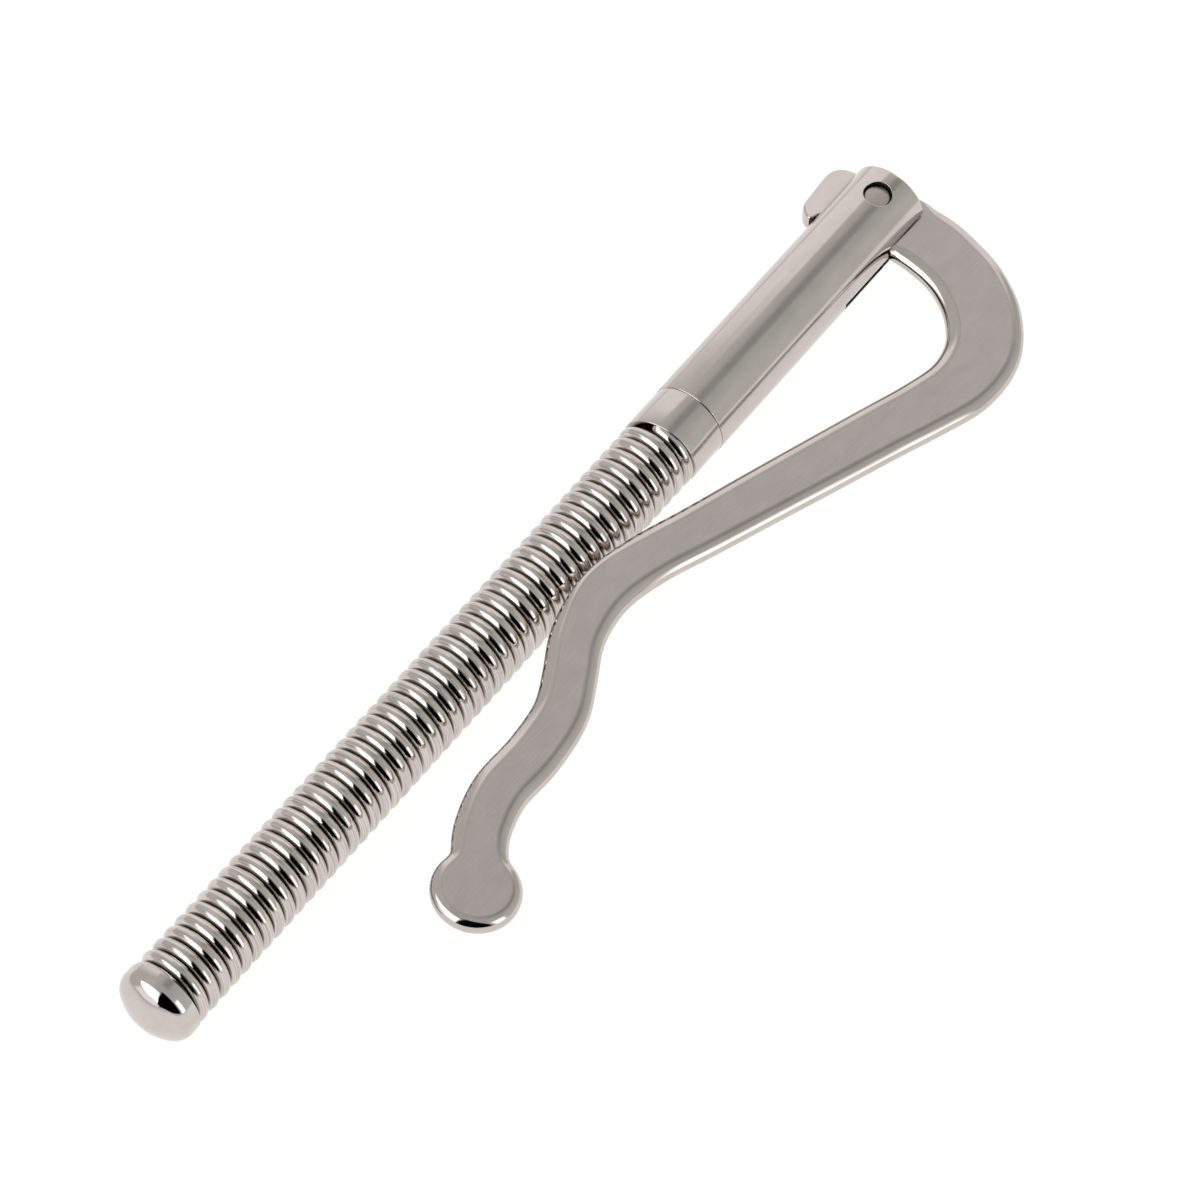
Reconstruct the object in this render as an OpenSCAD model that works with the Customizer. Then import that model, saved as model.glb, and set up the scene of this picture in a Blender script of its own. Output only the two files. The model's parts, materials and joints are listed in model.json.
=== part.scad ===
// Tie bar with a sprung lever
//
// A round bar wound with close-coiled wire, closed by a domed cap at one end
// and by a slotted housing at the other. A flat hooked lever is hinged in the
// slot and is pressed against the wound bar by a spring and plunger hidden in
// the housing. Pressing the thumb tab swings the lever away from the bar.
//
// Frame: X runs along the bar from the cap to the hinge end, Z is up, and the
// lever lies on the -Y side. The clip lies at rest on a table: the bar and the
// underside of the lever's hook both touch z = 0. All sizes are millimetres.

/* [Bar] */

// Outside diameter of the housing, the nominal bar size
bar_d = 4.0; // [3.6:0.1:4.8]
// Number of wire turns on the bar
turns = 48; // [24:1:60]
// Axial pitch of the wound wire
pitch = 0.767; // [0.7:0.001:0.9]
// Diameter of the wound bar over the wire
wrap_d = 3.9; // [3.5:0.05:4.3]
// Diameter of the plain rod the wire is wound on
rod_d = 2.5; // [2.2:0.05:2.6]

/* [End cap] */

// Diameter of the end cap
cap_d = 4.0; // [3.8:0.02:4.6]
// Length of the straight land of the cap
cap_land = 0.84; // [0.5:0.02:1.6]
// Height of the polished dome beyond the land
dome_h = 0.88; // [0.5:0.01:1.4]

/* [Collar and housing] */

// Diameter of the collar between the wire and the housing
collar_d = 3.94; // [3.6:0.02:4.4]
// Visible length of the collar
collar_l = 2.3; // [1.5:0.1:4]
// Length of the slotted housing
housing_l = 16.55; // [14:0.05:24]
// Diameter of the bore that holds the spring and the plunger
bore_d = 2.4; // [2.2:0.05:2.6]
// Distance from the pin centre to the open end of the housing
pin_inset = 1.5; // [1.3:0.05:2]
// Length of the lever slot, from the open end
slot_l = 6.55; // [5.5:0.05:9]
// Length of the slot on the thumb tab side, from the open end
tab_slot_l = 5.0; // [4.8:0.05:7]

/* [Hinge] */

// Diameter of the hinge pin
pin_d = 1.35; // [1:0.05:1.5]
// Depth the pin ends sit below the housing surface
pin_recess = 0.25; // [0.1:0.05:0.5]
// Gap on each side between the lever plate and the slot
slot_gap = 0.14; // [0.13:0.01:0.2]

/* [Lever] */

// Thickness of the lever plate
lever_t = 1.0; // [0.8:0.05:1.3]
// Width of the lever arm
arm_w = 3.0; // [2.7:0.02:3.1]
// Width of the lever neck where it leaves the housing
neck_w = 3.78; // [3.5:0.02:3.9]
// Diameter of the round end of the lever
disc_d = 4.2; // [3.4:0.1:5]
// Angle the lever plate rises at toward the cap, which carries the crest over the wire
lean = 3.0; // [2.9:0.05:3.1]
// Height of the thumb tab above the bar axis
tab_h = 3.1; // [2.7:0.05:3.8]
// Radius of the cam heel that pushes the plunger
heel_r = 1.9; // [1.8:0.05:2]
// Offset of the cam heel from the pin, which sets the plunger stroke
heel_off = 0.8; // [0.5:0.05:1]

/* [Spring and plunger] */

// Length of the plunger head
plunger_l = 2.4; // [1.6:0.1:4]
// Number of turns of the return spring
spring_turns = 9; // [6:1:12]
// Wire diameter of the return spring
spring_wire = 0.32; // [0.2:0.02:0.4]

/* [Hidden] */

$fn = 96;

bar_r = bar_d / 2;
wrap_r = wrap_d / 2;
wire_d = pitch;
wrap_l = turns * pitch;
fit = 0.01;

// stations along the bar, measured from the pin
x_end = pin_inset;
x_seam = x_end - housing_l;
x_collar = x_seam - collar_l;
x_wrap = x_collar - wrap_l;
x_tip = x_wrap - cap_land - dome_h;

slot_w = lever_t + 2 * slot_gap;
bore_end = -heel_r + 0.08;
plunger_d = bore_d - 0.08;
plunger_front = -heel_r - 0.03;
plunger_back = plunger_front - plunger_l;
stem_l = 1.2;
spigot_l = 2.4;
seat_x = x_seam + spigot_l;
nose_d = 1.1;
nose_l = 1.0;
spring_r = bore_d / 2 - 0.12 - spring_wire / 2;

metal = [0.74, 0.72, 0.71];
bright = [0.84, 0.83, 0.82];
dark = [0.35, 0.34, 0.33];

// centre line of the lever from the neck to the round end: x, y, width
crest_y = -(wrap_r + 1.08);
path = [
    [0.28, -0.6, neck_w - 0.78],
    [0.38, -1.6, neck_w - 0.18],
    [0.43, -3.1, neck_w],
    [0.21, -4.47, neck_w - 0.06],
    [-0.26, -5.85, neck_w],
    [-1.33, -7.39, neck_w + 0.02],
    [-3.08, -8.6, neck_w - 0.11],
    [-5.3, -8.92, neck_w - 0.4],
    [-7.59, -8.39, arm_w + 0.16],
    [-10.22, -7.54, arm_w + 0.07],
    [-13.59, -6.48, arm_w],
    [-16.95, -5.42, arm_w - 0.1],
    [-20.41, crest_y - 1.32, arm_w - 0.23],
    [-23.29, crest_y - 0.4, arm_w - 0.3],
    [-26.03, crest_y, arm_w - 0.4],
    [-28.67, crest_y - 0.46, arm_w - 0.43],
    [-30.73, crest_y - 1.51, arm_w - 0.44],
    [-32.64, crest_y - 2.38, arm_w - 0.39],
    [-35.22, crest_y - 2.73, arm_w - 0.32],
    [-37.68, crest_y - 2.73, arm_w - 0.34],
    [-39.89, crest_y - 3.38, arm_w - 0.38],
    [-41.32, crest_y - 4.34, arm_w - 0.4],
    [-42.4, crest_y - 5.01, arm_w - 0.4]
];
disc_c = [-42.46, crest_y - 5.01];

// ---- shape of the lever ----

// one point of a smooth curve through four neighbouring stations
function spline(a, b, c, d, t) =
    0.5 * (2 * b + (c - a) * t
           + (2 * a - 5 * b + 4 * c - d) * t * t
           + (3 * b - a - 3 * c + d) * t * t * t);

last = len(path) - 1;
steps = 5;
curve = [
    for (i = [0 : last - 1])
        for (k = [0 : steps - 1])
            spline(path[max(i - 1, 0)], path[i], path[i + 1],
                   path[min(i + 2, last)], k / steps),
    path[last]
];
n_curve = len(curve) - 1;

function heading(i) =
    let (a = curve[max(i - 1, 0)], b = curve[min(i + 1, n_curve)],
         v = [b[0] - a[0], b[1] - a[1]])
    v / norm(v);

// a point on one edge of the lever: side is 1 or -1
function edge_point(i, side) =
    let (h = heading(i), p = curve[i])
    [p[0] - side * h[1] * p[2] / 2, p[1] + side * h[0] * p[2] / 2];

// both edges of the lever, and where the lean carries a point of the plate
rim = [for (i = [0 : n_curve]) for (side = [-1, 1]) edge_point(i, side)];
function leaned(p, z) =
    [p[0] * cos(lean) + z * sin(lean), p[1], z * cos(lean) - p[0] * sin(lean)];

// the hook's outer side stands out beyond the end of the housing
x_hook = max([for (p = rim) leaned(p, lever_t / 2)[0]]);

// tilt at which a low corner of the lever would touch the table
rest_r = max(bar_r, cap_d / 2);
function touch(q) = asin(rest_r / norm([q[1], q[2]])) - atan2(-q[2], -q[1]);

// the clip lies on its bar and on the first part of the lever to touch
lay_tilt = min([for (p = rim) if (p[1] < -2 * bar_r) touch(leaned(p, -lever_t / 2))]);

// the clip's two sides once it has been laid down
function side_at(q) = q[1] * cos(lay_tilt) - q[2] * sin(lay_tilt);
side_hi = side_at(leaned([0.45, tab_h + 0.02], -lever_t / 2));
side_lo = min([for (p = rim) side_at(leaned(p, lever_t / 2))]);

// lays the clip down and centres it over the origin
module lay_down() {
    translate([-(x_hook + x_tip) / 2, -(side_hi + side_lo) / 2, rest_r])
        rotate([lay_tilt, 0, 0])
            children();
}

// cylinder from x0 to x1 along the bar
module rod_x(x0, x1, d) {
    translate([x0, 0, 0])
        rotate([0, 90, 0])
            cylinder(d = d, h = x1 - x0);
}

// turned shape: radius against distance along the bar
module turned() {
    rotate([0, 90, 0])
        rotate_extrude()
            children();
}

// ---- sub-parts ----

// domed cap pressed over the end of the rod
module end_cap() {
    sphere_r = (cap_d * cap_d / 4 + dome_h * dome_h) / (2 * dome_h);
    color(bright)
        lay_down()
            difference() {
                union() {
                    rod_x(x_wrap - cap_land, x_wrap - fit, cap_d);
                    intersection() {
                        translate([x_tip + sphere_r, 0, 0])
                            sphere(r = sphere_r);
                        rod_x(x_tip - 1, x_wrap - cap_land + 0.2, cap_d);
                    }
                }
                rod_x(x_wrap - cap_land - 0.1, x_wrap + 1, rod_d + 2 * fit);
            }
}

// plain rod that carries the wire from the cap to the collar
module core_rod() {
    color(dark)
        lay_down()
            rod_x(x_wrap - cap_land - 0.08, x_collar + collar_l - 0.6, rod_d);
}

// close-wound wire, drawn as one ribbed sleeve with a ridge for every turn
module wire_wrap() {
    sleeve_r = wrap_r - wire_d / 2;
    color(bright)
        lay_down()
            difference() {
                union() {
                    rod_x(x_wrap + 0.2, x_collar - 0.2, 2 * sleeve_r);
                    translate([x_wrap, 0, 0])
                        turned()
                            for (k = [0 : turns - 1])
                                translate([wrap_r - wire_d / 2, (k + 0.5) * pitch])
                                    circle(d = wire_d, $fn = 32);
                }
                rod_x(x_wrap - 1, x_collar + 1, rod_d + 2 * fit);
            }
}

// collar that closes the wire and plugs the housing
module collar() {
    color(metal)
        lay_down()
            difference() {
                union() {
                    rod_x(x_collar + fit, x_seam - fit, collar_d);
                    rod_x(x_seam - 0.5, seat_x, bore_d - 2 * fit);
                    rod_x(seat_x - 0.1, seat_x + nose_l, nose_d);
                }
                rod_x(x_collar - 1, x_seam - 0.6 + 0.02, rod_d + 2 * fit);
            }
}

// slotted housing with the spring bore and the pin holes
module housing() {
    color(metal)
        lay_down()
            difference() {
                rod_x(x_seam, x_end, bar_d);
                rod_x(x_seam - 1, bore_end, bore_d);
                // slot for the lever
                translate([x_end - slot_l, -bar_d, -slot_w / 2])
                    cube([slot_l + 1, bar_d, slot_w]);
                // slot for the thumb tab
                translate([x_end - tab_slot_l, 0, -slot_w / 2])
                    cube([tab_slot_l + 1, bar_d, slot_w]);
                // pin hole through both cheeks
                translate([0, 0, -bar_d])
                    cylinder(d = pin_d + 2 * fit, h = 2 * bar_d);
            }
}

// hinge pin, held in the cheeks of the housing
module pivot_pin() {
    pin_l = bar_d - 2 * pin_recess;
    color(metal)
        lay_down()
            translate([0, 0, -pin_l / 2])
                cylinder(d = pin_d, h = pin_l);
}

// outline of the arm, from the neck in the slot to the round end
module arm_outline() {
    polygon(concat(
        [for (i = [0 : n_curve]) edge_point(i, 1)],
        [for (i = [n_curve : -1 : 0]) edge_point(i, -1)]
    ));
}

// boss round the pin with the cam heel on its plunger side
module heel_outline() {
    intersection() {
        translate([0, heel_off])
            circle(r = heel_r);
        translate([-4, -4])
            square([4.3, 8]);
    }
}

// thumb tab: a low plate that stands out of the tab slot
module tab_shape() {
    polygon([
        [-1.55, bar_r - 0.7],
        [-1.9, bar_r + 0.15],
        [-2.35, bar_r + 0.15],
        [-2.25, tab_h - 0.55],
        [-2.02, tab_h - 0.3],
        [-1.65, tab_h - 0.16],
        [0.45, tab_h + 0.02],
        [0.85, tab_h - 0.02],
        [1.15, tab_h - 0.22],
        [1.32, tab_h - 0.55],
        [1.4, bar_r - 0.7]
    ]);
}

// one layer of the lever plate, as thick as the lever
module plate() {
    translate([0, 0, -lever_t / 2])
        linear_extrude(height = lever_t)
            children();
}

// flat hooked lever with thumb tab, pin hole and round end
module lever() {
    color(metal)
        lay_down()
            rotate([0, lean, 0])
                difference() {
                    union() {
                        plate() arm_outline();
                        plate() translate(disc_c) circle(d = disc_d);
                        plate() heel_outline();
                        plate() translate([-0.6, -1.2]) square([2.0, 2.6]);
                        plate() tab_shape();
                    }
                    translate([0, 0, -lever_t])
                        cylinder(d = pin_d + 0.1, h = 2 * lever_t);
                }
}

// plunger between the return spring and the cam heel
module plunger() {
    color(metal)
        lay_down() {
            rod_x(plunger_back, plunger_front, plunger_d);
            rod_x(plunger_back - stem_l, plunger_back + 0.1, nose_d);
        }
}

// return spring, drawn as a stack of rings joined by a thin inner sleeve
module return_spring() {
    s0 = seat_x + fit;
    s1 = plunger_back - fit;
    step = (s1 - s0 - spring_wire) / (spring_turns - 1);
    color(dark)
        lay_down()
            translate([s0 + spring_wire / 2, 0, 0])
                turned() {
                    for (k = [0 : spring_turns - 1])
                        translate([spring_r, k * step])
                            circle(d = spring_wire, $fn = 24);
                    translate([spring_r - 0.05, 0])
                        square([0.1, (spring_turns - 1) * step]);
                }
}

end_cap();
core_rod();
wire_wrap();
collar();
housing();
pivot_pin();
lever();
plunger();
return_spring();
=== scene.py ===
import json
import math

import bmesh
import bpy
from mathutils import Euler, Matrix, Vector
from mathutils.geometry import delaunay_2d_cdt


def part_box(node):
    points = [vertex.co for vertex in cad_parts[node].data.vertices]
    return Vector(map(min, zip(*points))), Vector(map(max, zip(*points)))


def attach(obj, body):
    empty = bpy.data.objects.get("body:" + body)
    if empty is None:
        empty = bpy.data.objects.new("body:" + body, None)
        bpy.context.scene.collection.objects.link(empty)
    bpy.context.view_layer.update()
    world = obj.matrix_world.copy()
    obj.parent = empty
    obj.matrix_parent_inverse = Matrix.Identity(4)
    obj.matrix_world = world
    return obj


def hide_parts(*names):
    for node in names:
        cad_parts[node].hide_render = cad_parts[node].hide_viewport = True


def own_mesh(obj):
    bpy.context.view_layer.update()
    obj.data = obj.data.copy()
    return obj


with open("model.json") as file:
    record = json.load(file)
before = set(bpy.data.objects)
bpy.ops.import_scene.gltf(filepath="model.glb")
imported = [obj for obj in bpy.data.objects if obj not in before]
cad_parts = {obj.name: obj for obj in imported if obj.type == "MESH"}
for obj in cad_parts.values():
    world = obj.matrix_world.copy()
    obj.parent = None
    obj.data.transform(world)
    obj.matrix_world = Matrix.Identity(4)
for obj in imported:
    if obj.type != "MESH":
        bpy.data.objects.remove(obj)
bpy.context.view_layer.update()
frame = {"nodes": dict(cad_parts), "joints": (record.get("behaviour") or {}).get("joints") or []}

# ---------------------------------------------------------------- frame
# The clip is modelled in millimetres along its own bar: X from the cap to the
# hinge, Z along the hinge pin, the pin's centre at zero. BAR places that in
# the row frame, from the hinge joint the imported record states.

hinge = next(j for j in frame["joints"] if j["type"] == "hinge")
PIVOT = Vector(hinge["pos_m"])
AZ = Vector(hinge["axis"]).normalized()
AX = Vector((1, 0, 0))
AY = AZ.cross(AX).normalized()
BAR = Matrix.Translation(PIVOT) @ Matrix((
    (AX.x, AY.x, AZ.x, 0), (AX.y, AY.y, AZ.y, 0), (AX.z, AY.z, AZ.z, 0), (0, 0, 0, 1)
)) @ Matrix.Scale(0.001, 4)
TO_BAR = BAR.inverted()


def span(node):
    """First and last station of a node along the bar, in millimetres."""
    lo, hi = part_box(node)
    return (TO_BAR @ lo).x, (TO_BAR @ hi).x


# Stations along the bar, read from the CAD.
WRAP_0, WRAP_1 = span("wire_wrap")
CAP_0 = span("end_cap")[0]
SEAM, END = span("housing")

# Cap, wire and collar.
CAP_R = 2.0
CAP_FILLET = 0.85
CAP_LAND = 0.84
CAP_BORE_R = 1.26
WRAP_R = 1.95
PITCH = 0.770
WIRE_GAP = 0.003
END_PHI = math.radians(74)
COLLAR_R = 1.97
COLLAR_BORE_R = 1.27
FACE_TILT = 0.17
FACE_GAP = 0.004

# Housing, with its bore, slots and pin hole. Beside the lever's root, from
# LEVER_SLOT to LIP_X, a lip closes the slot's mouth from above down to LIP_Z.
BAR_R = 2.0
BORE_R = 1.2
BORE_END = -1.82
SLOT_HALF = 0.64
LEVER_SLOT = END - 6.55
TAB_SLOT = END - 5.0
LIP_X = -1.55
LIP_Z = 0.14
HOLE_R = 0.705
PIN_R = 0.665
PIN_RECESS = 0.25

# Lever: half its thickness, its disc's centre, and its tab's edge and slope.
HALF_T = 0.5
DISC = Vector((-42.46, -8.04))
TAB_EDGE = 0.10
TAB_BEND = 1.7
TAB_SLOPE = 0.25
LEAN = Matrix.Rotation(math.radians(3.0), 4, "Y")

# Plunger and its spring.
PLUNGER_FRONT = -1.93
PLUNGER_STEP = PLUNGER_FRONT - 2.4
PLUNGER_R = 1.15
STEM_R = 0.55
STEM_END = PLUNGER_STEP - 1.2
SPRING_SEAT = SEAM + 2.4
SPRING_R = 0.90
SPRING_WIRE_R = 0.15

# ---------------------------------------------------------------- camera
# Long lens, looking down over the capped end from the lever side.

CAM_PLACE = Vector((-151.974, -71.206, 235.741))
CAM_TURN = [math.radians(a) for a in (31.0171, -4.9476, -53.357)]

cam_data = bpy.data.cameras.new("camera")
cam_data.sensor_width = 36
cam_data.lens = 180
cam_data.clip_start = 0.01
cam = bpy.data.objects.new("camera", cam_data)
cam_turn = Matrix((AX, AY, AZ)).transposed() @ Euler(CAM_TURN).to_matrix()
cam.location = BAR @ CAM_PLACE
cam.rotation_euler = cam_turn.to_euler()
bpy.context.scene.collection.objects.link(cam)
bpy.context.scene.camera = cam

# ---------------------------------------------------------------- node helpers


def new_material(name):
    m = bpy.data.materials.new(name)
    m.use_nodes = True
    nt = m.node_tree
    bsdf = next(n for n in nt.nodes if n.type == "BSDF_PRINCIPLED")
    return m, nt, bsdf


def node(nt, kind, **settings):
    n = nt.nodes.new(kind)
    for k, v in settings.items():
        setattr(n, k, v)
    return n


def ramp(nt, source, stops):
    """Grey ramp; stops are (position, grey) pairs."""
    r = nt.nodes.new("ShaderNodeValToRGB")
    e = r.color_ramp.elements
    while len(e) < len(stops):
        e.new(0.5)
    for el, (at, grey) in zip(e, stops):
        el.position = at
        el.color = (grey, grey, grey, 1)
    nt.links.new(source, r.inputs[0])
    return r.outputs[0]


def bar_coords(nt, scale):
    """Object coordinates in millimetres, X along the bar, stretched by scale."""
    tc = nt.nodes.new("ShaderNodeTexCoord")
    mp = node(nt, "ShaderNodeMapping")
    mp.inputs["Scale"].default_value = [1000 * s for s in scale]
    nt.links.new(tc.outputs["Object"], mp.inputs[0])
    return mp.outputs[0]


def noise(nt, coords, scale, detail, rough):
    n = node(nt, "ShaderNodeTexNoise")
    n.inputs["Scale"].default_value = scale
    n.inputs["Detail"].default_value = detail
    n.inputs["Roughness"].default_value = rough
    nt.links.new(coords, n.inputs["Vector"])
    return n.outputs["Fac"]


def mix_colour(nt, fac, a, b):
    m = nt.nodes.new("ShaderNodeMix")
    m.data_type = "RGBA"
    nt.links.new(fac, m.inputs[0])
    m.inputs[6].default_value = (*a, 1)
    m.inputs[7].default_value = (*b, 1)
    return m.outputs[2]


def bump(nt, height, strength, distance, normal=None):
    b = node(nt, "ShaderNodeBump")
    b.inputs["Strength"].default_value = strength
    b.inputs["Distance"].default_value = distance
    nt.links.new(height, b.inputs["Height"])
    if normal is not None:
        nt.links.new(normal, b.inputs["Normal"])
    return b.outputs["Normal"]


# ---------------------------------------------------------------- materials


def satin_plate(name, tint_a, tint_b, rough_lo, rough_hi, bevel=0.0, grain=1.0):
    """Satin plated metal: lengthwise polish lines, soft mottling, fine wear."""
    m, nt, b = new_material(name)
    b.inputs["Metallic"].default_value = 1.0
    lines = noise(nt, bar_coords(nt, (0.12, 5.0, 5.0)), 3.0, 5.0, 0.6)
    cloud = noise(nt, bar_coords(nt, (0.8, 1.4, 1.4)), 0.9, 3.0, 0.5)
    speck = noise(nt, bar_coords(nt, (4, 6, 6)), 3.0, 3.0, 0.6)
    nt.links.new(mix_colour(nt, ramp(nt, cloud, [(0.36, 0.0), (0.66, 1.0)]), tint_a, tint_b),
                 b.inputs["Base Color"])
    rr = nt.nodes.new("ShaderNodeMapRange")
    nt.links.new(ramp(nt, lines, [(0.3, 0.0), (0.7, 1.0)]), rr.inputs[0])
    rr.inputs["To Min"].default_value = rough_lo
    rr.inputs["To Max"].default_value = rough_hi
    nt.links.new(rr.outputs[0], b.inputs["Roughness"])
    base = None
    if bevel:
        bv = node(nt, "ShaderNodeBevel", samples=6)
        bv.inputs["Radius"].default_value = bevel
        base = bv.outputs[0]
    n = bump(nt, lines, 0.10 * grain, 0.00002, base)
    n = bump(nt, speck, 0.06 * grain, 0.00002, n)
    nt.links.new(n, b.inputs["Normal"])
    return m


def from_axis(nt, stops):
    """Grey by distance from the bar's axis; stops are (millimetres, grey) pairs."""
    reach = 4  # millimetres over the whole ramp
    per_metre = 1000 / reach
    tc = nt.nodes.new("ShaderNodeTexCoord")
    mp = node(nt, "ShaderNodeMapping")
    mp.inputs["Location"].default_value = [0, -PIVOT.y * per_metre, -PIVOT.z * per_metre]
    mp.inputs["Scale"].default_value = [0, per_metre, per_metre]
    nt.links.new(tc.outputs["Object"], mp.inputs[0])
    far = node(nt, "ShaderNodeVectorMath", operation="LENGTH")
    nt.links.new(mp.outputs[0], far.inputs[0])
    return ramp(nt, far.outputs["Value"], [(mm / reach, grey) for mm, grey in stops])


def along_wire(nt):
    """Coordinates round the wire's section and along its length, for drawing marks."""
    uv = node(nt, "ShaderNodeUVMap", uv_map="along")
    mp = node(nt, "ShaderNodeMapping")
    mp.inputs["Scale"].default_value = (22, 1.6, 1)
    nt.links.new(uv.outputs[0], mp.inputs[0])
    return mp.outputs[0]


def mirror_plate(name, tint, rough, wave=0.05, painted_groove_shade=None):
    """Bright polished plate with faint waviness and hairline polish marks.

    For a wire, the last argument gives from_axis stops that paint shade in between its turns,
    darkening its colour towards the bar's axis, and the marks are drawn lengthwise and stronger.
    """
    m, nt, b = new_material(name)
    b.inputs["Metallic"].default_value = 1.0
    cloud = noise(nt, bar_coords(nt, (1, 1, 1)), 1.6, 3.0, 0.5)
    hair = noise(nt, along_wire(nt) if painted_groove_shade else bar_coords(nt, (0.6, 9, 9)), 2.0, 4.0, 0.6)
    marks, shading, relief = (hair, 0.62, 0.7) if painted_groove_shade else (cloud, 0.93, 0.03)
    darker = tuple(c * shading for c in tint)
    colour = mix_colour(nt, ramp(nt, marks, [(0.38, 0.0), (0.64, 1.0)]), tint, darker)
    # Painted shade: the colour is multiplied darker towards the bar's axis, where the wire's
    # turns meet.
    if painted_groove_shade:
        shade = nt.nodes.new("ShaderNodeMix")
        shade.data_type = "RGBA"
        shade.blend_type = "MULTIPLY"
        shade.inputs[0].default_value = 1.0
        nt.links.new(colour, shade.inputs[6])
        nt.links.new(from_axis(nt, painted_groove_shade), shade.inputs[7])
        colour = shade.outputs[2]
    nt.links.new(colour, b.inputs["Base Color"])
    rr = nt.nodes.new("ShaderNodeMapRange")
    nt.links.new(hair, rr.inputs[0])
    rr.inputs["To Min"].default_value = rough * 0.6
    rr.inputs["To Max"].default_value = rough * 1.5
    nt.links.new(rr.outputs[0], b.inputs["Roughness"])
    n = bump(nt, cloud, wave, 0.00006)
    n = bump(nt, hair, relief, 0.00001, n)
    nt.links.new(n, b.inputs["Normal"])
    return m


# One warm nickel plate all over, from mirror on the wire to fine satin on the lever.
NICKEL = (0.59, 0.54, 0.51)
NICKEL_DULL = (0.555, 0.508, 0.48)
satin = satin_plate("satin_plate", NICKEL, NICKEL_DULL, 0.07, 0.12)
satin_housing = satin_plate("satin_housing", NICKEL, NICKEL_DULL, 0.07, 0.12, 0.00007, 0.35)
lever_mat = satin_plate("lever_plate", (0.64, 0.573, 0.562), (0.60, 0.538, 0.528), 0.16, 0.27,
                        grain=2.5)
lever_edge = satin_plate("lever_edge", NICKEL, NICKEL_DULL, 0.06, 0.10, grain=0.35)
pin_mat = satin_plate("pin_end", (0.60, 0.55, 0.48), (0.50, 0.46, 0.40), 0.25, 0.38)
# A near-black plate: painted shade for the pin hole's wall.
pin_hole_shade_mat = satin_plate("pin_hole_painted_shade", (0.07, 0.065, 0.06), (0.045, 0.042, 0.04), 0.4, 0.6)
mirror = mirror_plate("mirror_plate", (0.61, 0.562, 0.54), 0.03)
# The wire's stops paint shade into the grooves between its turns, darker below 1.8 mm from the
# bar's axis.
wire_mat = mirror_plate("polished_wire", (0.70, 0.648, 0.61), 0.05, 0.10,
                        [(1.60, 0.15), (1.70, 0.5), (1.80, 1.0)])
hidden_mat = satin_plate("plain_steel", (0.30, 0.28, 0.26), (0.22, 0.205, 0.19), 0.35, 0.5)

# ---------------------------------------------------------------- mesh helpers


def make_object(name, bm, body, nodes, mats, sharp):
    """Turns a bar-frame bmesh in millimetres into a piece riding on a body."""
    bmesh.ops.recalc_face_normals(bm, faces=bm.faces)
    me = bpy.data.meshes.new(name)
    bm.to_mesh(me)
    bm.free()
    me.transform(BAR)
    for p in me.polygons:
        p.use_smooth = True
    me.set_sharp_from_angle(angle=math.radians(sharp))
    for m in mats:
        me.materials.append(m)
    ob = bpy.data.objects.new(name, me)
    bpy.context.scene.collection.objects.link(ob)
    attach(ob, body)
    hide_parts(*nodes)
    return ob


def fillet(points, radii):
    """Rounds the corners of a 2D polyline; radii has one number a point."""
    seg = 5
    out = []
    for i, (p, r) in enumerate(zip(points, radii)):
        p = Vector(p)
        if r <= 0 or i in (0, len(points) - 1):
            out.append(p)
            continue
        a = (Vector(points[i - 1]) - p).normalized()
        b = (Vector(points[i + 1]) - p).normalized()
        half = a.angle(b) / 2
        d = r / math.tan(half)
        c = p + (a + b).normalized() * (r / math.sin(half))
        s = p + a * d - c
        e = p + b * d - c
        sweep = s.angle(e)
        sign = 1 if s.x * e.y - s.y * e.x > 0 else -1
        for k in range(seg + 1):
            t = sign * sweep * k / seg
            out.append(c + Vector((s.x * math.cos(t) - s.y * math.sin(t),
                                   s.x * math.sin(t) + s.y * math.cos(t))))
    return out


def lathe(profile, n=128, axis="X"):
    """Turns (station, radius) points about the bar (X) or the pin (Z), in n steps."""
    bm = bmesh.new()
    rings = []
    for st, r in profile:
        ring = []
        if r < 1e-6:
            rings.append([bm.verts.new((st, 0, 0) if axis == "X" else (0, 0, st))])
            continue
        for k in range(n):
            a = 2 * math.pi * k / n
            u = r * math.cos(a)
            v = r * math.sin(a)
            ring.append(bm.verts.new((st, u, v) if axis == "X" else (u, v, st)))
        rings.append(ring)
    for a, b in zip(rings, rings[1:]):
        for k in range(n):
            k2 = (k + 1) % n
            if len(a) == 1 and len(b) > 1:
                bm.faces.new((a[0], b[k], b[k2]))
            elif len(b) == 1 and len(a) > 1:
                bm.faces.new((a[k], a[k2], b[0]))
            elif len(a) > 1:
                bm.faces.new((a[k], a[k2], b[k2], b[k]))
    return bm


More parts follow.
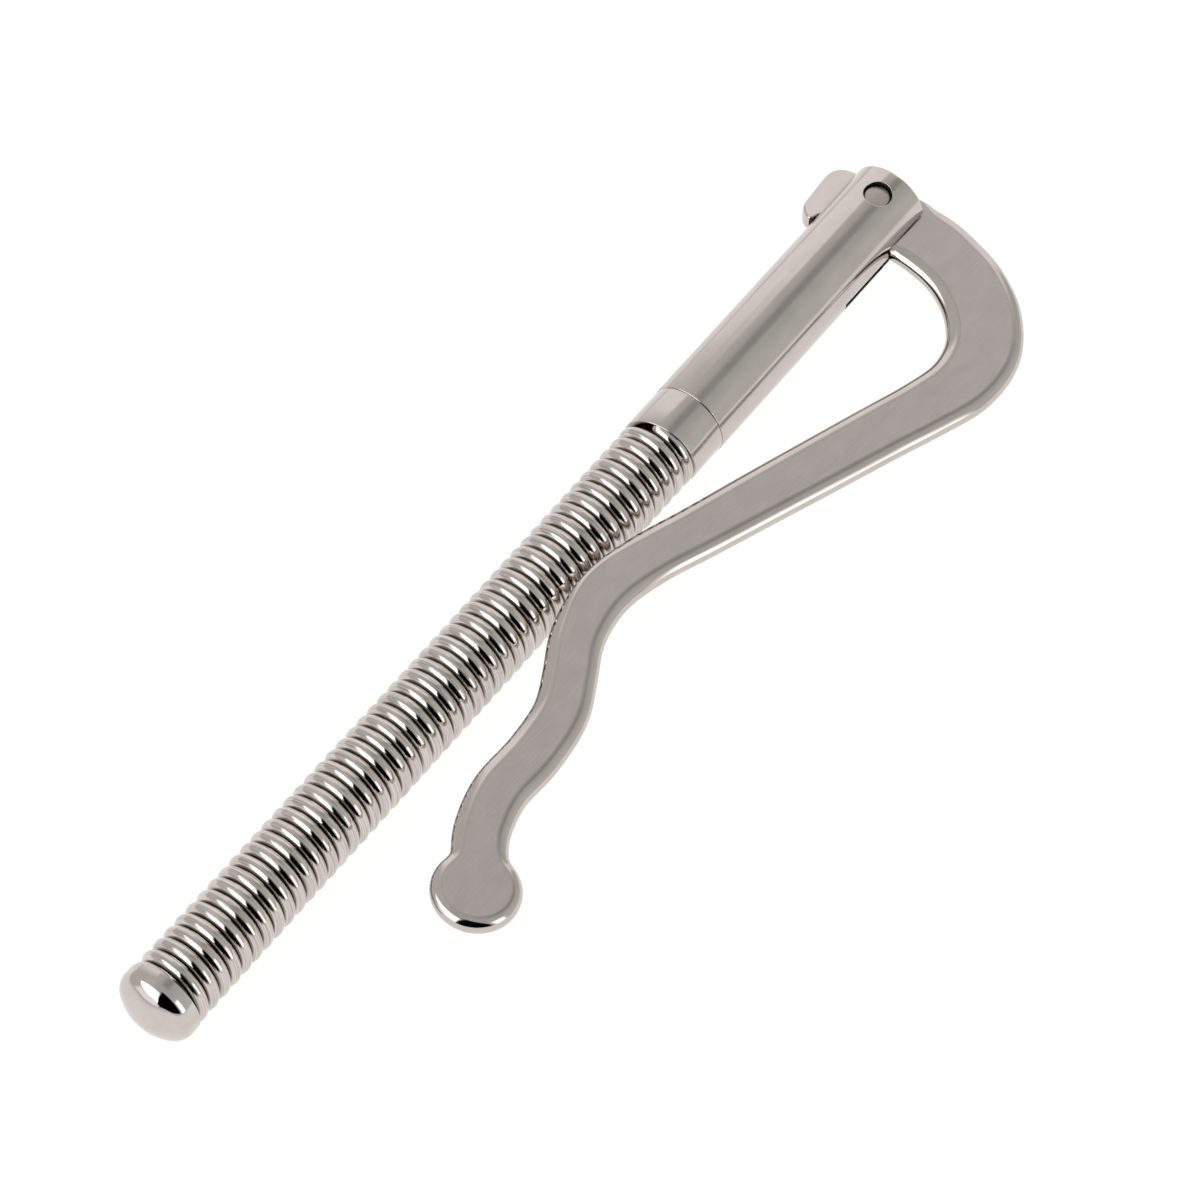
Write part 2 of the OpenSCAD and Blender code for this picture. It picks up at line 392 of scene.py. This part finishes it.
def coil(x0, x1, radius, wire_r, turns, phi0, ring=16, per_turn=72):
    """A round wire swept along a left-handed helix about the bar.

    Its UV map "along" counts section turns across and coil turns lengthwise.
    """
    bm = bmesh.new()
    steps = int(turns * per_turn)
    rows = []
    for i in range(steps + 1):
        t = i / steps
        phi = phi0 - 2 * math.pi * turns * t
        x = x0 + (x1 - x0) * t
        rho = Vector((0, math.cos(phi), math.sin(phi)))
        slope = (x1 - x0) / (2 * math.pi * turns * radius)
        tangent = Vector((slope, math.sin(phi), -math.cos(phi))).normalized()
        binorm = tangent.cross(rho).normalized()
        if binorm.x < 0:
            binorm = -binorm
        c = Vector((x, 0, 0)) + rho * radius
        # The cut ends are eased over their last two rings.
        edge = min(i, steps - i)
        k = 1.0 if edge >= 2 else (0.80 if edge == 0 else 0.95)
        rows.append([bm.verts.new(c + (rho * math.cos(a) + binorm * math.sin(a)) * wire_r * k)
                     for a in (2 * math.pi * j / ring for j in range(ring))])
    uv = bm.loops.layers.uv.new("along")
    for i, (a, b) in enumerate(zip(rows, rows[1:])):
        for j in range(ring):
            j2 = (j + 1) % ring
            face = bm.faces.new((a[j], a[j2], b[j2], b[j]))
            for loop, (s, t) in zip(face.loops, ((j, i), (j + 1, i), (j + 1, i + 1), (j, i + 1))):
                loop[uv].uv = (s / ring, t / per_turn)
    bm.faces.new(rows[0])
    bm.faces.new(list(reversed(rows[-1])))
    return bm


# ---------------------------------------------------------------- end cap

# A spherical dome, a fillet of CAP_FILLET and a plain band of CAP_LAND.
dome_h = WRAP_0 - CAP_LAND - CAP_0
sphere_r = (CAP_R ** 2 + dome_h ** 2) / (2 * dome_h)
sphere_x = CAP_0 + sphere_r
fillet_x = sphere_x - math.sqrt((sphere_r - CAP_FILLET) ** 2 - (CAP_R - CAP_FILLET) ** 2)
full = math.atan2(CAP_R - CAP_FILLET, sphere_x - fillet_x)
cap_line = []
for k in range(25):
    a = full * k / 24
    cap_line.append((sphere_x - sphere_r * math.cos(a), sphere_r * math.sin(a)))
for k in range(1, 13):
    a = full + (math.pi / 2 - full) * k / 12
    cap_line.append((fillet_x - CAP_FILLET * math.cos(a),
                     CAP_R - CAP_FILLET + CAP_FILLET * math.sin(a)))
cap_end = WRAP_0 - 0.01
cap_line += fillet([cap_line[-1], (cap_end, CAP_R), (cap_end, CAP_BORE_R),
                    (WRAP_0 - 0.3, CAP_BORE_R)], [0, 0.05, 0, 0])[1:]
make_object("end_cap_visual", lathe(cap_line), "bar", ["end_cap"], [mirror], 50)

# ---------------------------------------------------------------- wound wire

# The last turn ends at END_PHI about the bar, after it has run half under the
# collar, whose end is not quite square. Without UNDER it would just meet the
# collar's face at MEET degrees.
MEET = 66
UNDER = 0.61 * PITCH


def collar_face(y):
    """Where the collar's end face lies, at a distance y across the bar."""
    return WRAP_1 - FACE_TILT * y / COLLAR_R


wire_r = PITCH / 2 - WIRE_GAP
wire_end = WRAP_1 - 0.5 * PITCH - PITCH * (math.degrees(END_PHI) - MEET) / 360 + UNDER
wire_start = WRAP_0 - 0.25
turns = (wire_end - wire_start) / PITCH
wrap = coil(wire_start, wire_end, WRAP_R - wire_r, wire_r, turns, END_PHI + 2 * math.pi * turns)
for v in wrap.verts:
    v.co.x = max(WRAP_0, min(v.co.x, collar_face(v.co.y) - FACE_GAP))
make_object("wire_winding", wrap, "bar", ["wire_wrap"], [wire_mat], 60)

# ---------------------------------------------------------------- collar

collar_0 = WRAP_1 + 0.01
collar_1 = SEAM - 0.012
collar_line = fillet(
    [(WRAP_1 + 0.35, COLLAR_BORE_R), (collar_0, COLLAR_BORE_R), (collar_0, COLLAR_R),
     (collar_1, COLLAR_R), (collar_1, 1.21), (SEAM + 0.3, 1.19)],
    [0, 0, 0.04, 0.035, 0, 0])
collar = lathe(collar_line)
for v in collar.verts:
    if v.co.x < WRAP_1 + 0.2:
        v.co.x += collar_face(v.co.y) - WRAP_1
make_object("collar_visual", collar, "bar", ["collar"], [satin], 40)

# ---------------------------------------------------------------- housing


def cutter(bm):
    """Turns a bmesh into a plain object for the booleans."""
    me = bpy.data.meshes.new("cutter")
    bmesh.ops.recalc_face_normals(bm, faces=bm.faces)
    bm.to_mesh(me)
    bm.free()
    ob = bpy.data.objects.new("cutter", me)
    bpy.context.scene.collection.objects.link(ob)
    return ob


def block(x0, x1, y0, y1, z0, z1):
    """A box between two stations on each axis."""
    bm = bmesh.new()
    bmesh.ops.create_cube(bm, size=1)
    for v in bm.verts:
        v.co = Vector(((x0 + x1) / 2 + v.co.x * (x1 - x0), (y0 + y1) / 2 + v.co.y * (y1 - y0),
                       (z0 + z1) / 2 + v.co.z * (z1 - z0)))
    return bm


def cut(target, cutters):
    """Takes the cutters out of the target, removes them all and returns the mesh."""
    for c in cutters:
        mod = target.modifiers.new("cut", "BOOLEAN")
        mod.object = c
        mod.operation = "DIFFERENCE"
        mod.solver = "EXACT"
    bpy.context.view_layer.update()
    dg = bpy.context.evaluated_depsgraph_get()
    me = bpy.data.meshes.new_from_object(target.evaluated_get(dg))
    bm = bmesh.new()
    bm.from_mesh(me)
    for ob in [target, *cutters]:
        bpy.data.objects.remove(ob)
    return bm


body_line = fillet([(SEAM, 0), (SEAM, BAR_R), (END, BAR_R), (END, 0)], [0, 0.03, 0.12, 0])
housing = cut(cutter(lathe(body_line, 160)), [
    cutter(lathe([(SEAM - 1, 0), (SEAM - 1, BORE_R), (BORE_END, BORE_R), (BORE_END, 0)], 96)),
    cutter(block(LIP_X, END + 1, -3, 0.01, -SLOT_HALF, SLOT_HALF)),
    cutter(block(LEVER_SLOT, LIP_X + 0.1, -1.25, 0.01, -SLOT_HALF, SLOT_HALF)),
    cutter(block(LEVER_SLOT, LIP_X + 0.1, -3, -1.2, -SLOT_HALF, LIP_Z)),
    cutter(block(TAB_SLOT, END + 1, 0, 3, -SLOT_HALF, SLOT_HALF)),
    cutter(lathe([(-3, 0), (-3, HOLE_R), (3, HOLE_R), (3, 0)], 64, "Z")),
])
# The pin hole's wall gets a near-black plate: painted shade in the hole.
for f in housing.faces:
    if all(math.hypot(v.co.x, v.co.y) < HOLE_R + 0.01 for v in f.verts):
        f.material_index = 1
make_object("housing_visual", housing, "bar", ["housing"],
            [satin_housing, pin_hole_shade_mat], 30)

# ---------------------------------------------------------------- hinge pin

# Its ends are slightly domed.
pin_half = BAR_R - PIN_RECESS
pin_line = fillet([(-pin_half - 0.02, 0), (-pin_half + 0.01, PIN_R),
                   (pin_half - 0.01, PIN_R), (pin_half + 0.02, 0)], [0, 0.11, 0.11, 0])
make_object("hinge_pin_visual", lathe(pin_line, 64, "Z"), "bar", ["pivot_pin"],
            [pin_mat], 50)

# ---------------------------------------------------------------- lever

# The plate is made flat in the bar's frame, from the CAD's outline, then leaned.
# Its edge is rounded over a band of EDGE_WIDE, and over EDGE_LESS less on the disc.
STEP = 0.08
OUTLINE_ROUNDS = 14
CORNER_ROUNDS = 24
EDGE_WIDE = 0.62
EDGE_LESS = 0.12
EDGE_HIGH = 0.47
RIM_IN = 0.035
ROUND_ROWS = 11
HOLE_STEPS = 64


def lever_outline():
    """The longest outline loop of the CAD lever's upper face, as 2D bar-frame points."""
    bm = bmesh.new()
    bm.from_mesh(frame["nodes"]["lever"].data)
    bm.transform((BAR @ LEAN).inverted())
    bmesh.ops.remove_doubles(bm, verts=bm.verts, dist=0.002)
    bm.normal_update()
    nxt = {}
    for e in bm.edges:
        if len(e.link_faces) != 2:
            continue
        up = [abs(f.normal.z) > 0.9 for f in e.link_faces]
        if up[0] != up[1] and all(v.co.z > 0 for v in e.verts):
            a, b = e.verts
            nxt.setdefault(a.index, []).append(b.index)
            nxt.setdefault(b.index, []).append(a.index)
    bm.verts.ensure_lookup_table()
    loops = []
    seen = set()
    for start in nxt:
        if start in seen:
            continue
        loop = []
        prev = None
        cur = start
        while cur not in seen:
            seen.add(cur)
            loop.append(bm.verts[cur].co.xy.copy())
            step = [q for q in nxt[cur] if q != prev and q not in seen]
            if not step:
                break
            prev, cur = cur, step[0]
        loops.append(loop)
    bm.free()
    return max(loops, key=len)


def resample(loop, step):
    """Points about a step apart along the closed loop."""
    pts = loop + [loop[0]]
    lens = [(b - a).length for a, b in zip(pts, pts[1:])]
    total = sum(lens)
    n = int(total / step)
    out = []
    i = 0
    acc = 0.0
    for k in range(n):
        d = total * k / n
        while acc + lens[i] < d:
            acc += lens[i]
            i += 1
        out.append(pts[i].lerp(pts[i + 1], (d - acc) / lens[i]))
    return out


def smooth(loop, rounds):
    for _ in range(rounds):
        loop = [(before + 2 * p + after) / 4
                for before, p, after in zip(loop[-1:] + loop[:-1], loop, loop[1:] + loop[:1])]
    return loop


def area(loop):
    return sum(a.x * b.y - b.x * a.y for a, b in zip(loop, loop[1:] + loop[:1])) / 2


def ease(value, lo, hi):
    """0 below lo, 1 above hi, smooth between."""
    t = max(0.0, min(1.0, (value - lo) / (hi - lo)))
    return t * t * (3 - 2 * t)


def edge_width(p):
    """How far the rounding reaches in: wide along the arm, less on the disc, fine on the tab."""
    w = EDGE_WIDE - EDGE_LESS * ease(2.9 - (p - DISC).length, 0.0, 1.0)
    return w + (TAB_EDGE - w) * ease(p.y, -2.4, -1.2)


def low_corner(p):
    """Brings the tab's corner on the cap side down to the housing."""
    reach = ease(-p.x, 1.75, 2.2) * (1 - ease(p.y, 2.1, 2.75)) * ease(p.y, 1.8, 2.0)
    return p + Vector((-0.25, -0.13)) * reach


def thin_tab(co):
    """Slopes the tab's upper face down and away from the bar."""
    fall = TAB_SLOPE * max(0.0, co.y - TAB_BEND) * (co.z + HALF_T)
    return Vector((co.x, co.y, co.z - fall))


outer = smooth(resample(lever_outline(), STEP), OUTLINE_ROUNDS)
outer = smooth([low_corner(p) for p in outer], 4)
# The tab's lowered corner is smoothed further.
for _ in range(CORNER_ROUNDS):
    outer = [s if p.x < -1.9 and p.y > 1.95 else p for p, s in zip(outer, smooth(outer, 1))]
if area(outer) < 0:
    outer.reverse()
N = len(outer)
inward = []
for i in range(N):
    t = (outer[(i + 1) % N] - outer[i - 1]).normalized()
    inward.append(Vector((-t.y, t.x)))
width = [edge_width(p) for p in outer]
width = [sum(width[(i + k) % N] for k in range(-6, 7)) / 13 for i in range(N)]

# Rows of the rounded edge, from its middle to the rim of each face. The last row
# lies just inside the flat, so that the flat shades evenly.
bm = bmesh.new()
rows = []
for side in (1, -1):
    side_rows = []
    for k in range(ROUND_ROWS + 2):
        a = math.pi / 2 * min(k, ROUND_ROWS) / ROUND_ROWS
        row = []
        for p, n, w in zip(outer, inward, width):
            inset = w * (1 - math.cos(a)) + (RIM_IN if k > ROUND_ROWS else 0)
            h = min(EDGE_HIGH, 0.94 * w)
            row.append(bm.verts.new((*(p + n * inset), side * (HALF_T - h + h * math.sin(a)))))
        side_rows.append(row)
    rows.append(side_rows)
seq = list(reversed(rows[1])) + rows[0]
for a, b in zip(seq, seq[1:]):
    for i in range(N):
        i2 = (i + 1) % N
        bm.faces.new((a[i], a[i2], b[i2], b[i]))
holes = []
for side in (1, -1):
    holes.append([bm.verts.new((HOLE_R * math.cos(a), HOLE_R * math.sin(a), side * HALF_T))
                  for a in (2 * math.pi * j / HOLE_STEPS for j in range(HOLE_STEPS))])
for j in range(HOLE_STEPS):
    j2 = (j + 1) % HOLE_STEPS
    bm.faces.new((holes[0][j], holes[0][j2], holes[1][j2], holes[1][j]))

# Both faces are filled between the rim and the hole, with points along the line
# where the tab bends.
bend = [Vector((x / 10, TAB_BEND)) for x in range(-15, 13, 2)]
for side in (0, 1):
    ring = rows[side][-1] + holes[side]
    links = [(i, (i + 1) % N) for i in range(N)]
    links += [(N + j, N + (j + 1) % HOLE_STEPS) for j in range(HOLE_STEPS)]
    flat = delaunay_2d_cdt([v.co.xy for v in ring] + bend, links, [], 1, 1e-5)
    spots = []
    for co, source in zip(flat[0], flat[3]):
        known = [k for k in source if k < len(ring)]
        spots.append(ring[known[0]] if known else bm.verts.new((*co, ring[0].co.z)))
    for tri in flat[2]:
        if any(spots[i] not in holes[side] for i in tri):
            face = bm.faces.new([spots[i] for i in tri])
            face.material_index = 0 if face.calc_center_median().y > TAB_BEND else 1
for v in bm.verts:
    v.co = thin_tab(v.co)
bm.transform(LEAN)
make_object("lever_visual", bm, "lever", ["lever"], [lever_edge, lever_mat], 40)

# ---------------------------------------------------------------- inner parts

spring = make_object("return_spring_visual",
                     coil(SPRING_SEAT + 0.2, PLUNGER_STEP - 0.2, SPRING_R, SPRING_WIRE_R, 9, 0.0,
                          ring=10, per_turn=40),
                     "bar", ["return_spring"], [hidden_mat], 60)
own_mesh(spring)
plunger_line = fillet([(STEM_END, 0), (STEM_END, STEM_R), (PLUNGER_STEP, STEM_R),
                       (PLUNGER_STEP, PLUNGER_R), (PLUNGER_FRONT, PLUNGER_R), (PLUNGER_FRONT, 0)],
                      [0, 0.08, 0, 0.06, 0.25, 0])
make_object("plunger_visual", lathe(plunger_line, 64), "plunger", ["plunger"],
            [hidden_mat], 50)

# The plain rod is the CAD's own, seen only in the gap beside the collar.
core_rod = frame["nodes"]["core_rod"]
core_rod.data.materials.clear()
core_rod.data.materials.append(hidden_mat)

# ---------------------------------------------------------------- stage and light

# The sheet is white under the clip and falls away in brightness further off, as
# the plate sees it; the camera sees it white all over.
FADE_FROM, FADE_TO = 0.035, 0.09
NEAR_LIGHT, FAR_LIGHT = 0.96, 0.66
FLOOR_HALF = 1.5
FLOOR_DROP = 0.00005
floor_m, nt, b = new_material("floor_white")
b.inputs["Base Color"].default_value = (0.08, 0.08, 0.08, 1)
b.inputs["Roughness"].default_value = 0.9
b.inputs["Specular IOR Level"].default_value = 0.0
b.inputs["Emission Color"].default_value = (1, 0.985, 0.965, 1)
tc = nt.nodes.new("ShaderNodeTexCoord")
reach = node(nt, "ShaderNodeVectorMath", operation="LENGTH")
nt.links.new(tc.outputs["Object"], reach.inputs[0])
fade = node(nt, "ShaderNodeMapRange", interpolation_type="SMOOTHSTEP")
nt.links.new(reach.outputs["Value"], fade.inputs[0])
for k, v in enumerate((FADE_FROM, FADE_TO, NEAR_LIGHT, FAR_LIGHT)):
    fade.inputs[k + 1].default_value = v
ray = nt.nodes.new("ShaderNodeLightPath")
level = node(nt, "ShaderNodeMath", operation="MAXIMUM")
nt.links.new(fade.outputs[0], level.inputs[0])
nt.links.new(ray.outputs["Is Camera Ray"], level.inputs[1])
nt.links.new(level.outputs[0], b.inputs["Emission Strength"])
bmf = bmesh.new()
bmesh.ops.create_grid(bmf, x_segments=1, y_segments=1, size=FLOOR_HALF)
me = bpy.data.meshes.new("floor")
bmf.to_mesh(me)
bmf.free()
me.materials.append(floor_m)
floor = bpy.data.objects.new("floor", me)
floor.location = (0, 0, -FLOOR_DROP)
bpy.context.scene.collection.objects.link(floor)
bpy.context.scene.view_settings.view_transform = "Standard"

# A white tent lights the clip from all round. Directions are given as ALPHA, the
# angle from the hinge pin's axis toward the lever side, and TAU, the angle toward +X.
world = bpy.data.worlds.new("studio")
bpy.context.scene.world = world
world.use_nodes = True
wt = world.node_tree
background = wt.nodes["Background"]


def wmath(op, *values):
    """A math node on the world's tree; values are numbers or sockets."""
    m = node(wt, "ShaderNodeMath", operation=op)
    for socket, v in zip(m.inputs, values):
        if isinstance(v, (int, float)):
            socket.default_value = v
        else:
            wt.links.new(v, socket)
    return m.outputs[0]


def wdot(axis):
    """How far a direction of the world points along an axis."""
    d = node(wt, "ShaderNodeVectorMath", operation="DOT_PRODUCT")
    wt.links.new(direction.outputs["Generated"], d.inputs[0])
    d.inputs[1].default_value = axis
    return d.outputs["Value"]


direction = node(wt, "ShaderNodeTexCoord")
DEG = 180 / math.pi
TO_LEVER = wmath("MULTIPLY", wdot(AY), -1.0)
ALPHA = wmath("MULTIPLY", wmath("ARCTAN2", TO_LEVER, wdot(AZ)), DEG)
TAU = wmath("MULTIPLY", wmath("ARCSINE", wdot(AX)), DEG)


def rise(value, at, soft):
    """0 below at - soft, 1 above at + soft, smooth between."""
    m = node(wt, "ShaderNodeMapRange", interpolation_type="SMOOTHSTEP")
    wt.links.new(value, m.inputs[0])
    m.inputs["From Min"].default_value = at - soft
    m.inputs["From Max"].default_value = at + soft
    return m.outputs[0]


def patch(alpha, tau, soft_a, soft_t, slant):
    """A soft-edged panel between two ALPHA and two TAU angles, its TAU edges slanted."""
    t = TAU if slant == 0 else wmath("ADD", TAU, wmath("MULTIPLY", ALPHA, slant))
    out = rise(ALPHA, alpha[0], soft_a)
    out = wmath("MULTIPLY", out, wmath("SUBTRACT", 1.0, rise(ALPHA, alpha[1], soft_a)))
    out = wmath("MULTIPLY", out, rise(t, tau[0], soft_t))
    return wmath("MULTIPLY", out, wmath("SUBTRACT", 1.0, rise(t, tau[1], soft_t)))


def over(under, mask, colour):
    """Lays a colour over what is under it where the mask is 1."""
    m = node(wt, "ShaderNodeMix")
    m.data_type = "RGBA"
    wt.links.new(mask, m.inputs[0])
    if isinstance(under, tuple):
        m.inputs[6].default_value = (*under, 1)
    else:
        wt.links.new(under, m.inputs[6])
    m.inputs[7].default_value = (*colour, 1)
    return m.outputs[2]


# Each panel: its ALPHA and TAU ranges, how soft their edges are, the slant and
# the colour, from the widest underneath to the camera's dark opening on top.
PANELS = [
    ((-20, 200), (-100, 100), 8, 1, 0.0, (0.56, 0.575, 0.56)),
    ((38, 200), (-100, 100), 22, 1, 0.0, (0.68, 0.69, 0.67)),
    ((-200, -34), (25, 100), 5, 5, 0.0, (1.09, 1.055, 1.07)),
    ((-34, -8), (46, 100), 6, 10, 0.0, (1.09, 1.06, 1.05)),
    ((-200, -108), (-100, 100), 10, 1, 0.0, (1.05, 1.03, 1.03)),
    ((-200, 200), (-100, -62), 1, 6, 0.0, (1.25, 1.22, 1.23)),
    ((-200, -68), (-100, -42), 8, 8, 0.0, (1.2, 1.18, 1.19)),
    ((-9, 12), (16, 44), 7, 8, 0.0, (0.39, 0.39, 0.38)),
    ((46, 86), (-7, 12), 5, 6, 0.0, (2.6, 2.6, 2.6)),
    ((-62, 0), (-82, -32), 5, 5, 0.25, (3.0, 3.0, 3.0)),
    ((3, 80), (-86, -15), 4, 3, 0.0, (0.0, 0.0, 0.0)),
]
tent = (0.65, 0.65, 0.63)
for alpha, tau, soft_a, soft_t, slant, colour in PANELS:
    tent = over(tent, patch(alpha, tau, soft_a, soft_t, slant), colour)
seen = node(wt, "ShaderNodeLightPath")
wt.links.new(over(tent, seen.outputs["Is Camera Ray"], (1.05, 1.05, 1.05)), background.inputs[0])
background.inputs[1].default_value = 1.0
